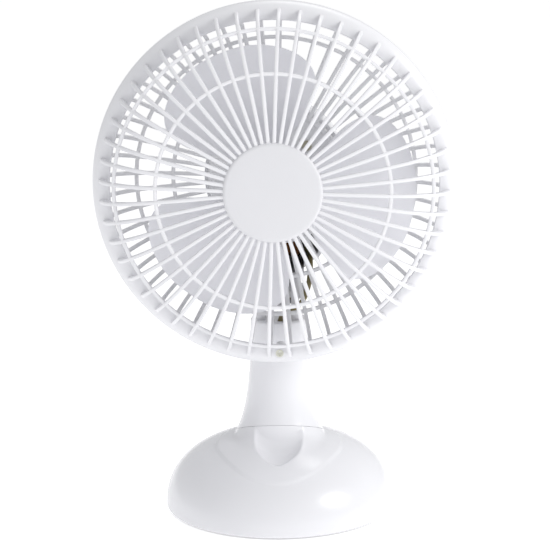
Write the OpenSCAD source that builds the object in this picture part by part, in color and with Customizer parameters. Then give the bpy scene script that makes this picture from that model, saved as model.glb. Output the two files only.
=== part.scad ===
// Small desk fan: a caged head that tilts on a flared neck over a domed base.
// +Z is up and the fan blows towards -Y. The origin is the middle of the base, on the table.

/* [Guard] */
// Outer diameter of the guard's rim
guard_d = 196; // [194:1:200]
// Distance from the rim's plane forward to the face of the centre disc
front_depth = 30.7; // [29:0.1:33]
// Distance from the rim's plane back to the rear guard's ribs
rear_depth = 34.8; // [34.4:0.1:35.2]
// Ribs in each guard
rib_count = 52; // [40:1:56]
// Width of a front rib
front_rib_w = 2; // [1.6:0.1:2.4]
// Width of a rear rib
rear_rib_w = 2.2; // [1.6:0.1:2.4]
// Diameter of the plain disc in the middle of the front guard
disc_d = 52.6; // [48:0.2:56]
// Radius of the inner front ring
mid_ring_r = 61.6; // [58:0.2:64]
// Radius of the outer front ring
outer_ring_r = 84.1; // [82:0.1:85]
// Snap hooks round the rim
hook_count = 6; // [4:1:8]

/* [Blade] */
// Diameter over the blade tips
blade_d = 152; // [140:1:156]
// Number of blades
blade_count = 3; // [3:1:4]
// Angle that one blade covers at its widest
blade_span = 93; // [60:1:94]
// Axial rise of a blade from its middle to an edge
blade_rise = 12; // [8:0.5:13]
// Thickness of a blade
blade_t = 1.8; // [1.4:0.1:2.4]
// Diameter of the hub
hub_d = 34; // [32:0.5:40]

/* [Motor] */
// Shaft diameter
shaft_d = 5; // [5:0.1:5.2]
// Length of the lamination stack
stack_l = 18; // [16:1:20]
// Diameter of the rotor
rotor_d = 24.4; // [22:0.1:24.6]
// Radius of the round part of the motor cover
cover_r = 40; // [39:0.5:42]

/* [Neck] */
// Height of the fan's axis over the table
axis_z = 193.8; // [193:0.1:196]
// Height of the tilt bolt
tilt_z = 126; // [125:0.5:127]
// Diameter of the neck where it is straight
neck_d = 31.2; // [30.5:0.1:32]
// Extra radius of the flare where the neck meets the base
neck_flare = 9; // [8:0.2:9.4]

/* [Base] */
// Largest diameter of the base
base_d = 131.6; // [130:0.2:136]
// Height of the dome over its lower edge
dome_h = 40.7; // [40:0.1:42]
// Wall thickness of the base and the neck
wall = 2.4; // [2:0.1:2.6]
// Height of the rubber ring that the base stands on
foot_h = 2; // [1.6:0.1:2.2]

/* [Hidden] */
$fn = 96;

fit = 0.05;                                 // radial play of a running fit
gap = 0.2;                                  // clearance between parts that don't move

// Guard. Depths are measured forward from the rim's plane, so what lies behind is negative.
rim_y = -48;
rim_r = guard_d / 2;
rib_pitch = 360 / rib_count;
rib_phase = 2.2;
rib_reach = rim_r - 3.6;                    // where a rib's outer edge meets the rim
front_rib_top = front_depth - 1.1;
screw_angle = rib_phase + rib_pitch * (floor(rib_count / 2) - 0.5);
screw_r = rim_r - 6.6;
screw_seat = 4.6;                           // depth of the guard screw's seat
screw_split = -1;                           // where the two guards' screw bosses meet
rear_rim_r = rim_r - 2.2;
rear_rim_t = 2.6;
rear_rim_back = -11;
plate_r = 38;                               // solid middle of the rear guard
plate_front = 1.8 - rear_depth;
plate_back = plate_front - 3.5;
rear_rings = [57, 77];
mount_r = 24;                               // the screws that hold the motor to the guard

// Blade
hub_front = 16;
hub_back = -6;
blade_mid = 1;
first_blade = 338;                          // clockwise from the top, as seen from the front

// Motor, along the fan's axis
bracket_t = 2.5;
bracket_front = plate_back - gap;
stack_front = -52;
stack_back = stack_front - stack_l;
rear_bracket_front = stack_back - 11;
rear_bracket_back = rear_bracket_front - bracket_t;
bolt_x = 19.5;
bolt_r = 1.5;
bore_r = rotor_d / 2 + 0.3;
core_w = 46;
core_top = 21;
bar_top = -31;
bar_bottom = -41;
bobbin_half = 14.4;
coil_t = 6;
shaft_r = shaft_d / 2;
shaft_front = 22;
shaft_back = rear_bracket_back - 2;
bush_r = 5.5;

// Motor cover
cover_front = plate_back - 1;
cover_back = -90;
cover_t = 2;
chin_z = -31;                               // centre of the cover's lower round, from the axis
chin_r = 28;
boss_x = 26;
lug_r = 8.5;
lug_w = 12;
tilt_bolt_r = 2.5;
washer_t = 1.4;
ear_in = lug_w / 2 + washer_t + 0.1;
ear_out = ear_in + 4.5;
vent_count = 4;

// Neck and base
neck_top = 111;
seam_z = 44.5;
seam_lean = 20.5;                           // how steeply the seam climbs towards the front
flare_z = 45.3;
flare_l = 19.5;
spigot_r = 18.3;
ledge_z = 35;
ledge_t = 2.8;
neck_screw_at = 15;
spigot_z = ledge_z + ledge_t + 0.1;
spigot_top = seam_z + 9;
base_r = base_d / 2;
dome_z = 3;
lip_z = 0.9;
plate_z = foot_h;
plate_t = 2.2;
foot_w = 6.4;
foot_at = 54;                               // middle of the foot ring
head_sink = 1.3;                            // how far a screw head sits inside the base plate
boss_at = 46;
pad_rise = 0.7;
pad_y = -10;
scoop_balls = [[16, -25, 51.5], [12.5, -38, 46.8]];  // radius, y and z of the two rounds of the scoop
scoop_stop = 20.3;                          // the scoop keeps off the neck's socket by this radius
ballast_r = 40;
ballast_screw_at = 30;
ballast_t = 9.6;
screw_hole_r = 1.45;

// Switch and cord inlet
switch_y = 57.6;
switch_z = 25;
switch_lean = 60;
bezel = [25, 17];
rocker_l = 17.6;
rocker_w = 10.6;
rocker_tip = 7;                             // how far the rocker leans to one side at rest
pin_r = 1.2;
pin_z = -1.5;
cord_hole_r = 2.2;
grommet_turn = 22;
grommet_z = 10;

// Lead from the coil down to the switch, as points (x, y, z)
lead_r = 1.5;
lead_route = [[15.6, 4.4, 149.6], [17.6, 1.8, 148.4], [18.4, -3.4, 144], [18.2, -8.4, 137],
    [16.6, -10.6, 128.5], [12.6, -10.9, 120.5], [7, -10.8, 116.4], [3, -10.5, 114.2], [1.4, -10.3, 111],
    [1.2, -10.1, 106.5], [0.8, -8, 99], [0, -3, 84], [0, 0, 66], [0, 2, 48], [0, 6, 32], [0, 16, 21],
    [2, 28, 18.4], [4, 36, 17.2], [5, 41.2, 15.6]];
lead_sides = 8;
lead_entry = [1.4, -10.3];                  // where the lead enters the top of the neck

// ---- helpers ----

// Puts a part on the fan's axis, with local Z forward from the rim's plane
module on_head() {
    translate([0, rim_y, axis_z]) rotate([90, 0, 0]) children();
}

// Puts a part at an angle clockwise from the top, as seen from the front
module clock(angle) {
    rotate([0, 0, -angle]) children();
}

module disc_between(r, low, high) {
    translate([0, 0, low]) cylinder(r = r, h = high - low);
}

module mirrored_x() {
    children();
    mirror([1, 0, 0]) children();
}

// Three copies round Z, one of them at the back
module thrice(at) {
    for (i = [0:2]) rotate(90 + i * 120) translate([at, 0, 0]) children();
}

module four_times(start, at) {
    for (i = [0:3]) rotate(start + i * 90) translate([at, 0, 0]) children();
}

module mount_holes(r, low, high) {
    for (i = [0:3]) clock(45 + i * 90) translate([0, mount_r, 0]) disc_between(r, low, high);
}

// Two discs beside the axis, where the motor's long bolts go
module bolt_pair(r, low, high) {
    mirrored_x() translate([bolt_x, 0, 0]) disc_between(r, low, high);
}

// Two discs beside the axis, where the cover's screws go
module boss_pair(r, low, high) {
    mirrored_x() translate([boss_x, 0, 0]) disc_between(r, low, high);
}

module ring_between(r_out, r_in, low, high) {
    difference() {
        disc_between(r_out, low, high);
        disc_between(r_in, low - 1, high + 1);
    }
}

module screw(r, length, head_r, head_h) {
    cylinder(r = r, h = length);
    translate([0, 0, -head_h]) difference() {
        cylinder(r = head_r, h = head_h);
        for (turn = [0, 90]) rotate(turn) translate([-head_r * 0.6, -0.4, -1]) cube([head_r * 1.2, 0.8, 1.6]);
    }
}

module rounded_plate(x, y, r) {
    square([x - 2 * r, y], center = true);
    square([x, y - 2 * r], center = true);
    for (i = [-1, 1], j = [-1, 1]) translate([i * (x / 2 - r), j * (y / 2 - r)]) circle(r);
}

// Height of a cage's edge over its foot at radius r
function cage_edge(r, reach, depth) = depth * sqrt(max(0, 1 - pow(r / reach, 5.8)));

// Points of a cage's edge from the middle out, closer together where it bends down
function cage_points(start, reach, depth, foot, steps = 9) =
    [for (i = [0:steps]) let (r = start + (reach - start) * sin(90 * i / steps) * 0.999)
        [r, foot + cage_edge(r, reach, depth)]];

module rib(width, outline) {
    rotate([90, 0, 0]) translate([0, 0, -width / 2]) linear_extrude(width) polygon(outline);
}

module ribs(width, outline) {
    for (i = [0:rib_count - 1]) clock(rib_phase + i * rib_pitch - 90) rib(width, outline);
}

function reversed(list) = [for (i = [len(list) - 1:-1:0]) list[i]];

// ---- guards ----

module rim_band() {
    front = [[0, -9], [0, -1.5], [0.8, 1.2], [2.8, 3.5], [6, 5], [10.2, 5.6]];
    back = [[10.2, 3.8], [6.4, 3.2], [3.8, 1.9], [2.1, -0.4], [1.9, -9]];
    rotate_extrude() polygon([for (p = concat(front, back)) [rim_r - p[0], p[1]]]);
}

module front_ring(r) {
    top = cage_edge(r, rib_reach, front_rib_top) - 0.3;
    ring_between(r + 1, r - 1, top - 2.4, top);
}

module centre_disc() {
    r = disc_d / 2;
    rotate_extrude() polygon([[0, front_depth - 3.5], [r - 0.8, front_depth - 3.5], [r, front_depth - 2.7],
        [r, front_depth - 1.3], [r - 0.4, front_depth - 0.4], [r - 1.4, front_depth], [0, front_depth]]);
}

module snap_hook() {
    translate([0, rim_r - 1.05, 0]) {
        translate([0, 0, -10.8]) cube([7.5, 1.6, 5], center = true);
        translate([0, -1, -12.4]) cube([7.5, 3.6, 1.8], center = true);
    }
}

module front_guard() {
    outer = cage_points(disc_d / 2 - 2, rib_reach, front_rib_top, 0);
    inner = cage_points(disc_d / 2 - 2, rib_reach - 3.4, front_rib_top - 2.6, 0);
    foot = [[rib_reach, 1.4], [rib_reach - 3.4, 1.4]];
    color("whitesmoke") on_head() difference() {
        union() {
            rim_band();
            ribs(front_rib_w, concat(outer, foot, reversed(inner)));
            front_ring(mid_ring_r);
            front_ring(outer_ring_r);
            centre_disc();
            for (i = [0:hook_count - 1]) clock(30 + i * 360 / hook_count) snap_hook();
            clock(screw_angle) translate([0, screw_r, 0]) disc_between(3.4, screw_split + gap, screw_seat);
        }
        clock(screw_angle) translate([0, screw_r, 0]) {
            disc_between(1.6, -5, 7);
            disc_between(2.5, screw_seat, 7);
        }
    }
}

module rear_guard() {
    foot = -8;
    outer = cage_points(plate_r - 1.5, rear_rim_r - 1.4, rear_depth + foot, 0);
    inner = cage_points(plate_r - 1.5, rear_rim_r - 4.4, rear_depth + foot - 2.4, 0);
    color("gainsboro") on_head() difference() {
        union() {
            ring_between(rear_rim_r, rear_rim_r - rear_rim_t, rear_rim_back, screw_split);
            disc_between(plate_r, plate_back, plate_front);
            translate([0, 0, foot]) mirror([0, 0, 1]) ribs(rear_rib_w, concat(outer, reversed(inner)));
            for (r = rear_rings) {
                base = foot - cage_edge(r, rear_rim_r - 1.4, rear_depth + foot) + 0.3;
                ring_between(r + 1.1, r - 1.1, base, base + 2.4);
            }
            clock(screw_angle) translate([0, screw_r, 0]) disc_between(2.9, -12, screw_split);
        }
        disc_between(9, plate_back - 1, plate_front + 1);
        mount_holes(1.7, plate_back - 1, plate_front + 1);
        clock(screw_angle) translate([0, screw_r, 0]) disc_between(screw_hole_r, -13, screw_split + 1);
    }
}

module guard_screw() {
    color("darkkhaki") on_head() clock(screw_angle)
        translate([0, screw_r, screw_seat + fit]) mirror([0, 0, 1]) screw(1.4, 15, 2.1, 1.2);
}

// ---- blade ----

// One point of a blade: t runs from root to tip, u from the trailing to the leading side
function blade_point(t, u, side) =
    let (tip = pow(1 - pow(t, 7), 0.42),
        growth = 0.62 + 0.38 * sin(90 * min(1, t / 0.55)),
        angle = u * blade_span / 2 * growth * tip,
        r = hub_d / 2 - 1.2 + (blade_d / 2 - hub_d / 2 + 1.2) * t,
        share = angle / (blade_span / 2),
        camber = 2.2 * (1 - share * share) * sin(90 * t))
    [r * sin(angle), r * cos(angle), blade_mid + blade_rise * share - camber + side * blade_t / 2];

module blade() {
    rows = 12;
    cols = 12;
    side_points = [for (side = [-1, 1], i = [0:rows], j = [0:cols])
        blade_point(0.996 * sin(90 * i / rows), -1 + 2 * j / cols, side)];
    back = (rows + 1) * (cols + 1);
    function at(side, i, j) = side * back + i * (cols + 1) + j;
    skin = [for (s = [0, 1], i = [0:rows - 1], j = [0:cols - 1])
        let (a = at(s, i, j), b = at(s, i, j + 1), c = at(s, i + 1, j + 1), d = at(s, i + 1, j))
        each s == 0 ? [[a, b, c], [a, c, d]] : [[a, c, b], [a, d, c]]];
    rim = [for (i = [0:rows - 1]) each [
            [at(0, i, 0), at(0, i + 1, 0), at(1, i + 1, 0), at(1, i, 0)],
            [at(0, i, cols), at(1, i, cols), at(1, i + 1, cols), at(0, i + 1, cols)]]];
    ends = [for (j = [0:cols - 1]) each [
            [at(0, 0, j), at(1, 0, j), at(1, 0, j + 1), at(0, 0, j + 1)],
            [at(0, rows, j), at(0, rows, j + 1), at(1, rows, j + 1), at(1, rows, j)]]];
    polyhedron(points = side_points, faces = concat(skin, rim, ends), convexity = 6);
}

module fan_blade() {
    hub_r = hub_d / 2;
    color("white") on_head() {
        difference() {
            union() {
                rotate_extrude() polygon([[0, hub_back], [6, hub_back], [6, hub_front - 3],
                    [hub_r - 2.4, hub_front - 3], [hub_r - 2.4, hub_back], [hub_r, hub_back],
                    [hub_r, hub_front - 4], [hub_r - 1.2, hub_front - 1.2],
                    [hub_r - 4, hub_front], [0, hub_front]]);
                for (i = [0:blade_count - 1]) clock(first_blade + i * 360 / blade_count) blade();
            }
            disc_between(shaft_r + 0.01, hub_back - 1, hub_front + 1);
        }
    }
}

module blade_nut() {
    flutes = 12;
    color("lightgray") on_head() difference() {
        disc_between(7.4, hub_front + gap, hub_front + 6.4);
        disc_between(shaft_r + 0.01, hub_front - 1, hub_front + 8);
        for (i = [0:flutes - 1]) rotate(i * 360 / flutes) translate([8, 0, 0])
            disc_between(1.1, hub_front - 1, hub_front + 8);
    }
}

// ---- motor ----

module motor_shaft() {
    color("silver") on_head() disc_between(shaft_r, shaft_back, shaft_front);
}

module rotor_core() {
    color("dimgray") on_head() ring_between(rotor_d / 2, shaft_r + 0.01, stack_back, stack_front);
}

module rotor_cage() {
    color("lightgray") on_head() {
        ring_between(rotor_d / 2 - 0.8, 7, stack_front + 0.02, stack_front + 2.6);
        ring_between(rotor_d / 2 - 0.8, 7, stack_back - 2.6, stack_back - 0.02);
    }
}

module thrust_washers() {
    color("burlywood") on_head() {
        ring_between(4.6, shaft_r + 0.02, bracket_front - 9.8, bracket_front - 9);
        ring_between(4.6, shaft_r + 0.02, rear_bracket_front + 5.6, rear_bracket_front + 6.4);
    }
}

shade_at = [[15.6, 28], [15.6, 62]];        // radius and angle of a shading ring's two sides

function polar(at) = [at[0] * cos(at[1]), at[0] * sin(at[1])];

module shade_holes(r) {
    for (turn = [0, 180], at = shade_at) rotate(turn) translate(polar(at))
        disc_between(r, stack_back - 4, stack_front + 4);
}

module stator_core() {
    color("darkslategray") on_head() difference() {
        translate([0, 0, stack_back]) linear_extrude(stack_l) difference() {
            translate([-core_w / 2, bar_bottom]) square([core_w, core_top - bar_bottom]);
            translate([-15, bar_top]) square([30, 12]);
        }
        disc_between(bore_r, stack_back - 1, stack_front + 1);
        bolt_pair(bolt_r + 0.1, stack_back - 1, stack_front + 1);
        shade_holes(1.05);
    }
}

// Puts a part on the bar that carries the coil, with local Z along it and local X up
module on_bar() {
    translate([0, rim_y, axis_z]) rotate([90, 0, 0])
        translate([0, (bar_top + bar_bottom) / 2, (stack_front + stack_back) / 2])
            rotate([0, 90, 0]) rotate(90) children();
}

module coil_bobbin() {
    bar = [bar_top - bar_bottom + 0.4, stack_l + 0.4];
    tube = bar + [2.4, 2.4];
    color("black") on_bar() difference() {
        union() {
            linear_extrude(2 * bobbin_half, center = true) square(tube, center = true);
            for (s = [-1, 1]) translate([0, 0, s * (bobbin_half - 0.7)]) linear_extrude(1.4, center = true)
                rounded_plate(tube[0] + 2 * coil_t, tube[1] + 2 * coil_t, 2);
        }
        linear_extrude(2 * bobbin_half + 2, center = true) square(bar, center = true);
    }
}

module motor_coil() {
    bar = [bar_top - bar_bottom + 3, stack_l + 3];
    color("peru") on_bar() linear_extrude(2 * bobbin_half - 3.2, center = true) difference() {
        rounded_plate(bar[0] + 2 * coil_t - 1.6, bar[1] + 2 * coil_t - 1.6, 3.5);
        square(bar, center = true);
    }
}

module shading_rings() {
    a = polar(shade_at[0]);
    b = polar(shade_at[1]);
    span = norm(b - a);
    lean = atan2(b[1] - a[1], b[0] - a[0]);
    color("chocolate") on_head() for (turn = [0, 180]) rotate(turn) {
        for (at = [a, b]) translate(at) disc_between(0.95, stack_back - 1.9, stack_front + 1.9);
        for (z = [stack_front + 1, stack_back - 1]) translate([a[0], a[1], z]) rotate(lean)
            translate([span / 2, 0, 0]) cube([span, 1.8, 1.8], center = true);
    }
}

module front_bracket() {
    color("silver") on_head() difference() {
        union() {
            disc_between(29, bracket_front - bracket_t, bracket_front);
            disc_between(8, bracket_front - 8.8, bracket_front);
            bolt_pair(4, stack_front + 0.05, bracket_front - 1);
        }
        disc_between(bush_r, bracket_front - 9, bracket_front - 1);
        disc_between(4, bracket_front - 9, bracket_front + 1);
        bolt_pair(bolt_r, stack_front - 1, stack_front + 9);
        mount_holes(1.4, bracket_front - 4, bracket_front + 1);
    }
}

module rear_bracket() {
    color("silver") on_head() difference() {
        union() {
            translate([0, 0, rear_bracket_back]) linear_extrude(bracket_t) rounded_plate(61, 17, 6);
            disc_between(8, rear_bracket_back + 0.5, rear_bracket_front + 5.4);
            bolt_pair(4, rear_bracket_back + 0.5, stack_back - 0.05);
        }
        disc_between(bush_r, rear_bracket_back + 1, rear_bracket_front + 7);
        disc_between(4, rear_bracket_back - 1, rear_bracket_front + 7);
        bolt_pair(bolt_r + 0.1, rear_bracket_back - 1, stack_back + 1);
        boss_pair(1.4, rear_bracket_back - 1, rear_bracket_front + 1);
    }
}

module front_bearing() {
    color("darkgoldenrod") on_head()
        ring_between(bush_r - 0.01, shaft_r + fit, bracket_front - 8.8, bracket_front - 1.05);
}

module rear_bearing() {
    color("darkgoldenrod") on_head()
        ring_between(bush_r - 0.01, shaft_r + fit, rear_bracket_back + 1.05, rear_bracket_front + 5.2);
}

module motor_bolts() {
    color("silver") on_head() mirrored_x() translate([bolt_x, 0, rear_bracket_back - 0.05])
        screw(bolt_r - 0.02, stack_front + 8 - rear_bracket_back, 2.8, 1.8);
}

module guard_mount_screws() {
    color("silver") on_head() for (i = [0:3]) clock(45 + i * 90)
        translate([0, mount_r, plate_front + 0.05]) mirror([0, 0, 1]) screw(1.38, 6, 2.8, 1.6);
}

// ---- motor cover ----

// Outline of a large round over a smaller one, joined by their common tangents
function egg(shrink) =
    let (r = cover_r - shrink, low = chin_r - shrink, side = asin((low - r) / chin_z))
    concat(
        [for (i = [0:24]) let (a = -side + (180 + 2 * side) * i / 24) [r * cos(a), r * sin(a)]],
        [for (i = [0:12]) let (a = 180 + side + (180 - 2 * side) * i / 12)
            [low * cos(a), chin_z + low * sin(a)]]);

// Solid through a list of [depth, outline], each outline convex and with the same number of points
module loft(sections) {
    count = len(sections[0][1]);
    last = len(sections) - 1;
    points = [for (s = sections, p = s[1]) [p[0], p[1], s[0]]];
    sides = [for (k = [0:last - 1], i = [0:count - 1])
        let (a = k * count + i, b = k * count + (i + 1) % count)
            each [[a, b, a + count], [b, b + count, a + count]]];
    end = last * count;
    caps = [for (i = [1:count - 2]) each [[0, i + 1, i], [end, end + i, end + i + 1]]];
    polyhedron(points = points, convexity = 4, faces = concat(sides, caps));
}

// The cover's shape at a wall distance: straight from the front, then rounded in to the back
module cover_shape(front, back, shrink) {
    round_r = 16 - shrink;
    loft([[front, egg(shrink)], for (a = [0:15:75])
        [back + round_r * (1 - sin(a)), egg(shrink + round_r * (1 - cos(a)))],
        [back, egg(shrink + round_r * 0.9)]]);
}

module motor_cover() {
    lug_z = tilt_z - axis_z;
    color("whitesmoke") on_head() difference() {
        union() {
            difference() {
                cover_shape(cover_front, cover_back, 0);
                cover_shape(cover_front + 1, cover_back + cover_t, cover_t);
                for (s = [-1, 1], i = [0:vent_count - 1]) translate([0, s * (7 + i * 4), cover_back])
                    cube([36 - 4 * i, 2, 3 * cover_t], center = true);
                translate([18.4, chin_z - chin_r + 6, cover_front]) cube([7, 20, 26], center = true);
            }
            boss_pair(3.4, cover_back + 1.5, rear_bracket_back - 0.1);
            translate([-lug_w / 2, lug_z, rim_y]) rotate([0, 90, 0]) cylinder(r = lug_r, h = lug_w);
            translate([-lug_w / 2, lug_z, rim_y - lug_r + 0.4])
                cube([lug_w, chin_z - chin_r + 1 - lug_z, 2 * lug_r - 0.8]);
        }
        boss_pair(1.6, cover_back - 1, rear_bracket_back + 1);
        boss_pair(3.2, cover_back - 1, cover_back + 2.4);
        translate([0, lug_z, rim_y]) rotate([0, 90, 0])
            cylinder(r = tilt_bolt_r + fit, h = 40, center = true);
    }
}

module cover_screws() {
    length = rear_bracket_back + bracket_t - cover_back - 2.4;
    color("silver") on_head() mirrored_x() translate([boss_x, 0, cover_back + 2.35])
        screw(1.38, length, 2.9, 1.6);
}

// ---- tilt joint ----

module at_tilt() {
    translate([0, 0, tilt_z]) rotate([0, 90, 0]) children();
}

module tilt_bolt() {
    color("silver") at_tilt() {
        disc_between(tilt_bolt_r, -ear_out - 5, ear_out + 0.05);
        disc_between(4.6, ear_out + 0.05, ear_out + 3.2);
    }
}

module tilt_nut() {
    color("silver") at_tilt() difference() {
        translate([0, 0, -ear_out - 4]) cylinder(r = 4.6, h = 3.9, $fn = 6);
        disc_between(tilt_bolt_r + 0.02, -ear_out - 5, -ear_out);
    }
}

module tilt_washers() {
    color("gray") at_tilt() for (s = [0, 1]) mirror([0, 0, s])
        ring_between(7.4, tilt_bolt_r + 0.02, lug_w / 2 + 0.05, lug_w / 2 + washer_t);
}

// ---- neck ----

function neck_radius(z) = neck_d / 2 + neck_flare * exp((flare_z - z) / flare_l);

// Outline of the neck from one height to another, shrunk by a wall
function neck_outline(low, high, shrink, steps = 16) =
    [for (i = [0:steps]) let (z = low + (high - low) * pow(i / steps, 1.4)) [neck_radius(z) - shrink, z]];

// Everything under the seam, which is level behind the neck and climbs in front of it
module under_seam(drop) {
    translate([-60, 0, -60]) cube([120, 60, 60 + seam_z - drop]);
    translate([0, 0, seam_z - drop]) rotate([-seam_lean, 0, 0])
        translate([-60, -70, -70]) cube([120, 100, 70]);
}

module tilt_ear() {
    translate([ear_in, 0, 0]) {
        translate([0, 0, tilt_z]) rotate([0, 90, 0]) cylinder(r = lug_r, h = ear_out - ear_in);
        translate([0, 0.4 - lug_r, neck_top - 1])
            cube([ear_out - ear_in, 2 * lug_r - 0.8, tilt_z - neck_top + 1]);
    }
}

module neck() {
    roof = 3;
    low = seam_z - 8;
    outside = concat([[0, low]], neck_outline(low, neck_top, 0), [[0, neck_top]]);
    inside = concat([[0, low]], neck_outline(low, neck_top - roof, wall), [[0, neck_top - roof]]);
    color("white") difference() {
        union() {
            difference() {
                rotate_extrude() polygon(outside);
                under_seam(0);
            }
            ring_between(spigot_r, spigot_r - wall, spigot_z, spigot_top);
            thrice(neck_screw_at) disc_between(3, spigot_z + 0.4, spigot_top + 1);
            mirrored_x() tilt_ear();
        }
        difference() {
            rotate_extrude() polygon(inside);
            ring_between(30, spigot_r - wall, ledge_z, spigot_top);
            thrice(neck_screw_at) disc_between(3, ledge_z, spigot_top + 1);
        }
        thrice(neck_screw_at) disc_between(screw_hole_r, ledge_z, spigot_top - 2);
        translate([0, 0, tilt_z]) rotate([0, 90, 0]) cylinder(r = tilt_bolt_r + 0.02, h = 40, center = true);
        translate(lead_entry) disc_between(lead_r + 0.6, neck_top - roof - 1, neck_top + 1);
    }
}

module neck_screws() {
    color("silver") thrice(neck_screw_at) translate([0, 0, ledge_z - fit])
        screw(screw_hole_r - 0.02, 11, 2.6, 1.6);
}

// ---- base ----

// Half outline of the dome, from its top to its widest, shrunk by a wall
function dome_outline(shrink, steps = 24) =
    [for (i = [0:steps]) let (a = 90 * i / steps)
        [(base_r - shrink) * pow(sin(a), 0.83), dome_z + (dome_h - shrink) * pow(cos(a), 0.91)]];

module dome(shrink, lip) {
    r = base_r - shrink;
    under = lip ? [[r - 0.5, 1.6], [r - 1.8, lip_z], [0, lip_z]] : [[r, 0], [0, 0]];
    rotate_extrude() polygon(concat(dome_outline(shrink), under));
}

// Plan of the raised pad: round at the sides, drawn out to a point at the front
module pad_plan() {
    polygon([for (a = [-126:9:126]) let (r = 36 + 9 * pow(max(0, cos(a)), 4))
        [r * sin(a), pad_y - r * cos(a)]]);
}

// Thumb scoop in the pad, wide at the neck and drawn in towards the front
module scoop(grow) {
    difference() {
        for (ball = scoop_balls) translate([0, ball[1], ball[2]]) sphere(ball[0] + grow);
        disc_between(scoop_stop, 0, 80);
    }
}

module base_shell() {
    color("white") difference() {
        union() {
            dome(0, true);
            intersection() {
                dome(-pad_rise, true);
                translate([0, 0, seam_z - 22]) linear_extrude(40) pad_plan();
            }
            intersection() {
                rotate_extrude() polygon(concat([[0, 36]], neck_outline(36, 56, 0), [[0, 56]]));
                under_seam(gap);
            }
            at_switch() translate([0, 0, -8]) linear_extrude(9) rounded_plate(bezel[0] + 3, bezel[1] + 3, 3);
        }
        difference() {
            dome(wall, false);
            scoop(wall - 0.2);
            ring_between(22.5, 11, ledge_z, 60);
            four_times(45, boss_at) disc_between(4, plate_z + plate_t + 0.1, 50);
            at_switch() translate([0, 0, -4]) linear_extrude(9) rounded_plate(bezel[0] + 3, bezel[1] + 3, 3);
        }
        scoop(0);
        disc_between(spigot_r + 0.2, ledge_z + ledge_t, 60);
        disc_between(11, ledge_z - 1, 60);
        thrice(neck_screw_at) disc_between(1.6, ledge_z - 1, ledge_z + 4);
        four_times(45, boss_at) disc_between(screw_hole_r, 0, 17);
        at_switch() translate([0, 0, -20]) linear_extrude(30)
            square([bezel[0] - 3.8, bezel[1] - 3.4], center = true);
        at_grommet() disc_between(3.7, -10, 10);
        disc_between(base_r - wall - 0.6, 0, plate_z + plate_t);
    }
}

// Screw hole in the base plate with a sunk seat for the head
module sunk_hole() {
    disc_between(1.7, 0, 9);
    disc_between(3.2, 0, plate_z + head_sink);
}

module base_plate() {
    color("gainsboro") difference() {
        disc_between(base_r - wall - 0.8, plate_z, plate_z + plate_t);
        four_times(45, boss_at) sunk_hole();
        four_times(0, foot_at) disc_between(2.5, 0, 9);
        thrice(ballast_screw_at) sunk_hole();
    }
}

module ballast_weight() {
    low = plate_z + plate_t + 0.1;
    color("slategray") difference() {
        ring_between(ballast_r, 14, low, low + ballast_t);
        thrice(ballast_screw_at) disc_between(1.5, low - 1, low + 7);
    }
}

module ballast_screws() {
    color("silver") thrice(ballast_screw_at) translate([0, 0, plate_z + head_sink - fit])
        screw(1.48, 7.5, 2.9, 1.2);
}

module base_screws() {
    color("silver") four_times(45, boss_at) translate([0, 0, plate_z + head_sink - fit])
        screw(screw_hole_r - 0.02, 12, 2.9, 1.2);
}

module foot_ring() {
    inner = foot_at - foot_w / 2;
    outer = foot_at + foot_w / 2;
    top = plate_z - fit;
    section = [[inner, top], [inner, 0.6], [inner + 0.8, 0], [outer - 0.8, 0], [outer, 0.6], [outer, top]];
    color("dimgray") {
        rotate_extrude() polygon(section);
        four_times(0, foot_at) disc_between(2.4, plate_z - 0.1, plate_z + plate_t + 1);
    }
}

// ---- switch and cord inlet ----

// Puts a part on the back of the dome, with local Z pointing out and up
module at_switch() {
    translate([0, switch_y, switch_z]) rotate([-switch_lean, 0, 0]) children();
}

module at_grommet() {
    rotate([0, 0, grommet_turn]) translate([0, base_r, grommet_z]) rotate([-90, 0, 0]) children();
}

module switch_housing() {
    body = [bezel[0] - 4, bezel[1] - 3.6];
    cavity = [rocker_l + 1.8, rocker_w + 0.5];
    color("dimgray") at_switch() difference() {
        union() {
            translate([0, 0, 1.05]) linear_extrude(1.5) rounded_plate(bezel[0], bezel[1], 2);
            translate([0, 0, -12]) linear_extrude(14) square(body, center = true);
        }
        translate([0, 0, -9.5]) linear_extrude(14) square(cavity, center = true);
        translate([0, 0, pin_z]) rotate([90, 0, 0]) cylinder(r = pin_r + fit, h = 40, center = true);
        mirrored_x() translate([5, 0, -14]) linear_extrude(6) square([5, 1], center = true);
    }
}

module rocker_switch() {
    half = rocker_l / 2;
    color("whitesmoke") at_switch() translate([0, 0, pin_z]) rotate([0, -rocker_tip, 0]) {
        rotate([90, 0, 0]) linear_extrude(rocker_w, center = true)
            polygon([[-half, 0.6], [-half, 4.6], [0, 3], [half, 4.6], [half, 0.6], [3, -4], [-3, -4]]);
        rotate([90, 0, 0]) cylinder(r = pin_r, h = bezel[1] - 4, center = true);
    }
}

module switch_terminals() {
    color("goldenrod") at_switch() mirrored_x() translate([5, 0, -18]) linear_extrude(9.5)
        square([4.8, 0.8], center = true);
}

module cord_grommet() {
    color("dimgray") at_grommet() difference() {
        union() {
            disc_between(3.6, -6.8, 1);
            disc_between(5.2, -6.8, -5);
            disc_between(5.2, 0, 1.8);
        }
        disc_between(cord_hole_r, -8, 4);
    }
}

// ---- lead ----

function smooth_point(p, i, t) =
    let (last = len(p) - 1, a = p[max(0, i - 1)], b = p[i], c = p[min(last, i + 1)], d = p[min(last, i + 2)])
    0.5 * (2 * b + (c - a) * t + (2 * a - 5 * b + 4 * c - d) * t * t + (3 * b - a - 3 * c + d) * t * t * t);

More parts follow.
